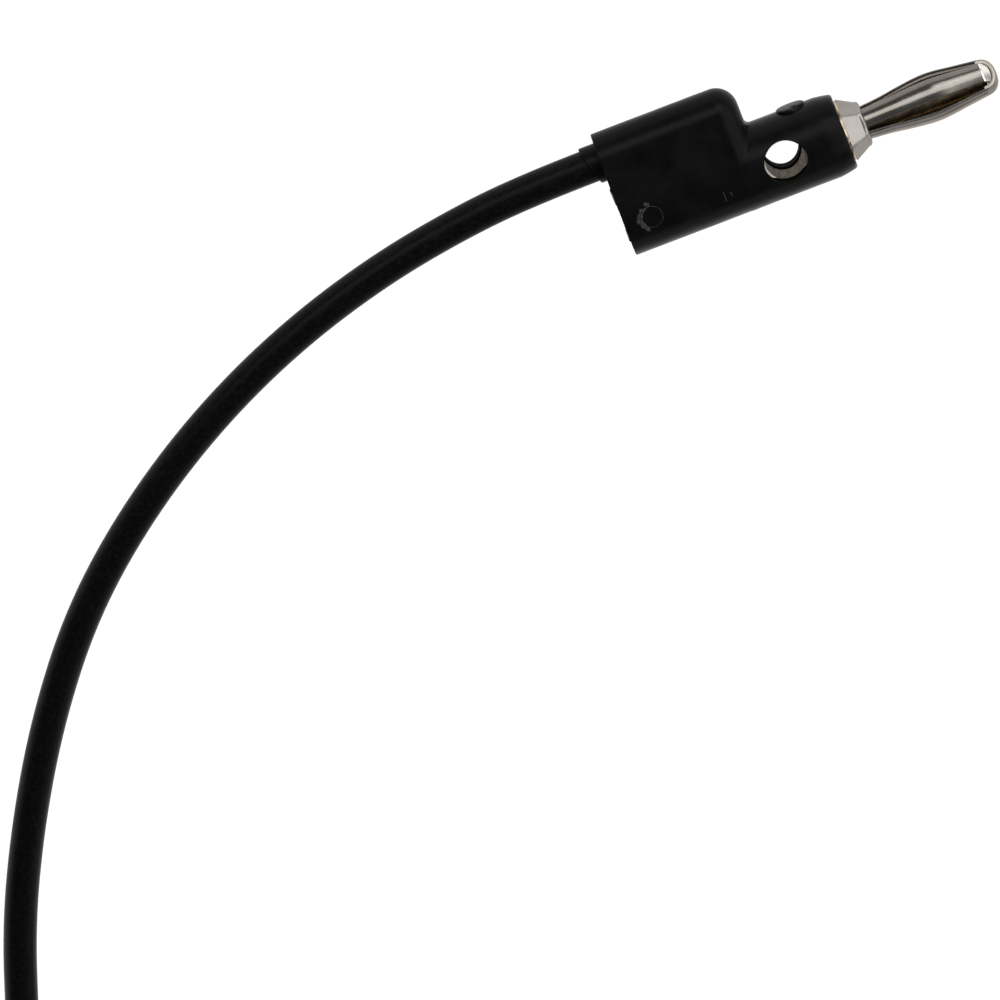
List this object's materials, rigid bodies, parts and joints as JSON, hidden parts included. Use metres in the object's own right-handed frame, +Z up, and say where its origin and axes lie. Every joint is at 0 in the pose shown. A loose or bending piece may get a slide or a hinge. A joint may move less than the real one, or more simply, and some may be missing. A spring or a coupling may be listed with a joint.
{
  "type": "stackable banana plug ground lead",
  "caption": "Flexible single-core ground lead with a stackable banana plug on each end, each plug with a sprung leaf pin, an in-line rear jack and a cross jack.",
  "frame": {"origin": "on the table under the middle of the near plug's bounding box", "axes": "+X along the near plug's contact pin towards its tip, +Y towards its wire housing, +Z up from the table that the plug and lead lie on"},
  "size_m": [0.1482, 0.1349, 0.0089],
  "materials": {
    "housing_plastic": "satin black moulded plastic",
    "lead_jacket": "smooth black flexible jacket",
    "nickel_plate": "nickel plated turned brass",
    "spring_metal": "bright nickel plated spring strip",
    "post_brass": "plain darkened brass",
    "copper_strand": "bare stranded copper",
    "solder": "dull solder"
  },
  "bodies": {
    "lead": {"near_body_molding": "housing_plastic", "near_contact_core": "nickel_plate", "near_centre_post": "post_brass", "near_inner_nose": "spring_metal", "near_outer_nose": "spring_metal", "near_cable_sleeve": "lead_jacket", "near_jacket_end": "lead_jacket", "near_conductor": "copper_strand", "near_solder_joint": "solder", "far_body_molding": "housing_plastic", "far_contact_core": "nickel_plate", "far_centre_post": "post_brass", "far_inner_nose": "spring_metal", "far_outer_nose": "spring_metal", "far_cable_sleeve": "lead_jacket", "far_jacket_end": "lead_jacket", "far_conductor": "copper_strand", "far_solder_joint": "solder", "lead_near_run": "lead_jacket", "lead_coil": "lead_jacket", "lead_far_run": "lead_jacket"},
    "near_leaf_1_rear": {"near_leaf_1_rear": "spring_metal"},
    "near_leaf_1_front": {"near_leaf_1_front": "spring_metal"},
    "near_leaf_2_rear": {"near_leaf_2_rear": "spring_metal"},
    "near_leaf_2_front": {"near_leaf_2_front": "spring_metal"},
    "near_leaf_3_rear": {"near_leaf_3_rear": "spring_metal"},
    "near_leaf_3_front": {"near_leaf_3_front": "spring_metal"},
    "near_leaf_4_rear": {"near_leaf_4_rear": "spring_metal"},
    "near_leaf_4_front": {"near_leaf_4_front": "spring_metal"},
    "far_leaf_1_rear": {"far_leaf_1_rear": "spring_metal"},
    "far_leaf_1_front": {"far_leaf_1_front": "spring_metal"},
    "far_leaf_2_rear": {"far_leaf_2_rear": "spring_metal"},
    "far_leaf_2_front": {"far_leaf_2_front": "spring_metal"},
    "far_leaf_3_rear": {"far_leaf_3_rear": "spring_metal"},
    "far_leaf_3_front": {"far_leaf_3_front": "spring_metal"},
    "far_leaf_4_rear": {"far_leaf_4_rear": "spring_metal"},
    "far_leaf_4_front": {"far_leaf_4_front": "spring_metal"}
  },
  "joints": [
    {"name": "near_leaf_1_flex", "type": "hinge", "parent": "lead", "child": "near_leaf_1_rear", "pos_m": [0.00721, -0.00104, 0.00572], "axis": [0, 0.6887, -0.7251], "range_deg": [0, 3.8], "stiffness_Nm_per_rad": 0.05},
    {"name": "near_leaf_1_knee", "type": "hinge", "parent": "near_leaf_1_rear", "child": "near_leaf_1_front", "pos_m": [0.01455, -0.00047, 0.00626], "axis": [0, -0.6887, 0.7251], "range_deg": [0, 8.9]},
    {"name": "near_leaf_2_flex", "type": "hinge", "parent": "lead", "child": "near_leaf_2_rear", "pos_m": [0.00721, -0.00111, 0.00312], "axis": [0, -0.7251, -0.6887], "range_deg": [0, 3.8]},
    {"name": "near_leaf_2_knee", "type": "hinge", "parent": "near_leaf_2_rear", "child": "near_leaf_2_front", "pos_m": [0.01455, -0.00056, 0.00254], "axis": [0, 0.7251, 0.6887], "range_deg": [0, 8.9]},
    {"name": "near_leaf_3_flex", "type": "hinge", "parent": "lead", "child": "near_leaf_3_rear", "pos_m": [0.00721, -0.00371, 0.00318], "axis": [0, -0.6887, 0.7251], "range_deg": [0, 3.8]},
    {"name": "near_leaf_3_knee", "type": "hinge", "parent": "near_leaf_3_rear", "child": "near_leaf_3_front", "pos_m": [0.01455, -0.00428, 0.00264], "axis": [0, 0.6887, -0.7251], "range_deg": [0, 8.9]},
    {"name": "near_leaf_4_flex", "type": "hinge", "parent": "lead", "child": "near_leaf_4_rear", "pos_m": [0.00721, -0.00364, 0.00578], "axis": [0, 0.7251, 0.6887], "range_deg": [0, 3.8]},
    {"name": "near_leaf_4_knee", "type": "hinge", "parent": "near_leaf_4_rear", "child": "near_leaf_4_front", "pos_m": [0.01455, -0.00419, 0.00636], "axis": [0, -0.7251, -0.6887], "range_deg": [0, 8.9]},
    {"name": "far_leaf_1_flex", "type": "hinge", "parent": "lead", "child": "far_leaf_1_rear", "pos_m": [-0.03796, -0.11715, 0.00274], "axis": [0.0487, -0.929, 0.3669], "range_deg": [0, 3.8], "stiffness_Nm_per_rad": 0.05},
    {"name": "far_leaf_1_knee", "type": "hinge", "parent": "far_leaf_1_rear", "child": "far_leaf_1_front", "pos_m": [-0.03062, -0.11705, 0.002], "axis": [-0.0487, 0.929, -0.3669], "range_deg": [0, 8.9]},
    {"name": "far_leaf_2_flex", "type": "hinge", "parent": "lead", "child": "far_leaf_2_rear", "pos_m": [-0.03791, -0.11818, 0.00513], "axis": [-0.0192, 0.3664, 0.9303], "range_deg": [0, 3.8]},
    {"name": "far_leaf_2_knee", "type": "hinge", "parent": "far_leaf_2_rear", "child": "far_leaf_2_front", "pos_m": [-0.03054, -0.11853, 0.00541], "axis": [0.0192, -0.3664, -0.9303], "range_deg": [0, 8.9]},
    {"name": "far_leaf_3_flex", "type": "hinge", "parent": "lead", "child": "far_leaf_3_rear", "pos_m": [-0.03803, -0.1158, 0.00616], "axis": [-0.0487, 0.929, -0.3669], "range_deg": [0, 3.8]},
    {"name": "far_leaf_3_knee", "type": "hinge", "parent": "far_leaf_3_rear", "child": "far_leaf_3_front", "pos_m": [-0.03072, -0.11513, 0.0069], "axis": [0.0487, -0.929, 0.3669], "range_deg": [0, 8.9]},
    {"name": "far_leaf_4_flex", "type": "hinge", "parent": "lead", "child": "far_leaf_4_rear", "pos_m": [-0.03809, -0.11476, 0.00377], "axis": [0.0192, -0.3664, -0.9303], "range_deg": [0, 3.8]},
    {"name": "far_leaf_4_knee", "type": "hinge", "parent": "far_leaf_4_rear", "child": "far_leaf_4_front", "pos_m": [-0.03079, -0.11365, 0.00348], "axis": [-0.0192, 0.3664, 0.9303], "range_deg": [0, 8.9]}
  ],
  "couplings": [
    {"joint": "near_leaf_1_knee", "follows": "near_leaf_1_flex", "ratio": 2.292},
    {"joint": "near_leaf_2_flex", "follows": "near_leaf_1_flex", "ratio": 1},
    {"joint": "near_leaf_2_knee", "follows": "near_leaf_1_flex", "ratio": 2.292},
    {"joint": "near_leaf_3_flex", "follows": "near_leaf_1_flex", "ratio": 1},
    {"joint": "near_leaf_3_knee", "follows": "near_leaf_1_flex", "ratio": 2.292},
    {"joint": "near_leaf_4_flex", "follows": "near_leaf_1_flex", "ratio": 1},
    {"joint": "near_leaf_4_knee", "follows": "near_leaf_1_flex", "ratio": 2.292},
    {"joint": "far_leaf_1_knee", "follows": "far_leaf_1_flex", "ratio": 2.292},
    {"joint": "far_leaf_2_flex", "follows": "far_leaf_1_flex", "ratio": 1},
    {"joint": "far_leaf_2_knee", "follows": "far_leaf_1_flex", "ratio": 2.292},
    {"joint": "far_leaf_3_flex", "follows": "far_leaf_1_flex", "ratio": 1},
    {"joint": "far_leaf_3_knee", "follows": "far_leaf_1_flex", "ratio": 2.292},
    {"joint": "far_leaf_4_flex", "follows": "far_leaf_1_flex", "ratio": 1},
    {"joint": "far_leaf_4_knee", "follows": "far_leaf_1_flex", "ratio": 2.292}
  ]
}
